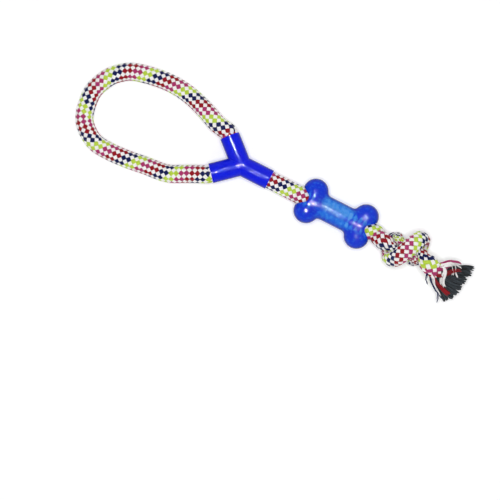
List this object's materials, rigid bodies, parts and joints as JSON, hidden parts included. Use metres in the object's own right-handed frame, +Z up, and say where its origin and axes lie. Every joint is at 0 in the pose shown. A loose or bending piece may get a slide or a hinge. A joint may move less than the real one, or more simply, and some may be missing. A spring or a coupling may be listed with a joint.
{
  "type": "dog rope chew toy",
  "caption": "Braided rope tug toy: a hand loop closed by a moulded Y sleeve, a rubber bone threaded on the stem, a stopper knot and a frayed tassel.",
  "frame": {"origin": "middle of the underside of the toy's box, on the surface that it lies on", "axes": "+X from the hand loop towards the tassel, along the stem; +Z up, away from the surface that the toy lies on"},
  "size_m": [0.475, 0.1184, 0.045],
  "materials": {
    "braid_white": "soft white polyester strands of the braided jacket",
    "core_black": "dark fluffy core yarns",
    "sleeve_blue": "smooth glossy moulded plastic, opaque royal blue",
    "bone_blue": "clear blue chew rubber with a gloss skin, the rope shows through its shank",
    "tape_clear": "tape round the rope's cut end, hidden in the sleeve",
    "strand_lime": "lime green polyester strands",
    "strand_pink": "deep pink polyester strands",
    "strand_red": "crimson polyester strands",
    "strand_navy": "navy polyester strands"
  },
  "bodies": {
    "stem": {"y_sleeve": "sleeve_blue", "stem_jacket": "braid_white", "stem_core": "core_black", "rope_end_jacket": "braid_white", "rope_end_core": "core_black", "end_tape": "tape_clear", "upper_neck_jacket": "braid_white", "upper_neck_core": "core_black", "lower_neck_jacket": "braid_white", "lower_neck_core": "core_black", "tail_neck_jacket": "braid_white", "tail_neck_core": "core_black"},
    "handle": {"loop_jacket": "braid_white", "loop_core": "core_black"},
    "bone": {"chew_bone": "bone_blue"},
    "tail": {"tail_jacket": "braid_white", "tail_core": "core_black", "core_fringe": "core_black", "lime_strand_1": "strand_lime", "lime_strand_2": "strand_lime", "pink_strand_1": "strand_pink", "pink_strand_2": "strand_pink", "red_strand_1": "strand_red", "red_strand_2": "strand_red", "navy_strand_1": "strand_navy", "navy_strand_2": "strand_navy", "white_strand_1": "braid_white", "white_strand_2": "braid_white", "white_strand_3": "braid_white", "white_strand_4": "braid_white", "white_strand_5": "braid_white", "white_strand_6": "braid_white", "white_strand_7": "braid_white", "white_strand_8": "braid_white"}
  },
  "joints": [
    {"name": "bone_slide", "type": "slide", "parent": "stem", "child": "bone", "axis": [1, 0, 0], "range_m": [-0.036, 0.006]},
    {"name": "handle_bend", "type": "hinge", "parent": "stem", "child": "handle", "pos_m": [-0.08631, 0.0032, 0.01411], "axis": [0, 1, 0], "range_deg": [0, 60], "deforming": ["upper_neck_jacket", "upper_neck_core", "lower_neck_jacket", "lower_neck_core"]},
    {"name": "tail_bend", "type": "hinge", "parent": "stem", "child": "tail", "pos_m": [0.18817, 0.00018, 0.03065], "axis": [0, 0, 1], "range_deg": [-25, 25], "deforming": ["tail_neck_jacket", "tail_neck_core"]}
  ]
}
